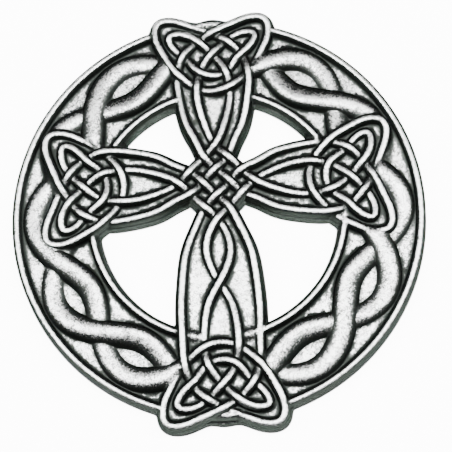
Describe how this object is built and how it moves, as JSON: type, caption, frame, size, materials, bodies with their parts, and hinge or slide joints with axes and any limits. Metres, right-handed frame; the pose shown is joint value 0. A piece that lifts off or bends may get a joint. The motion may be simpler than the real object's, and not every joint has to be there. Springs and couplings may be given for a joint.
{
  "type": "ringed cross medallion",
  "caption": "Small openwork cast-metal medallion: a ringed cross covered in knotwork, on a ring with a braid between two rims; flat back for fixing.",
  "frame": {"origin": "the middle of the ring, on the flat back", "axes": "+Z out of the front, +Y towards the top of the cross, +X to the viewer's right"},
  "size_m": [0.0504, 0.0526, 0.003],
  "materials": {
    "pewter": "antiqued pewter: softly polished high spots over nearly black recesses"
  },
  "bodies": {
    "root": {"medallion": "pewter"}
  },
  "joints": []
}
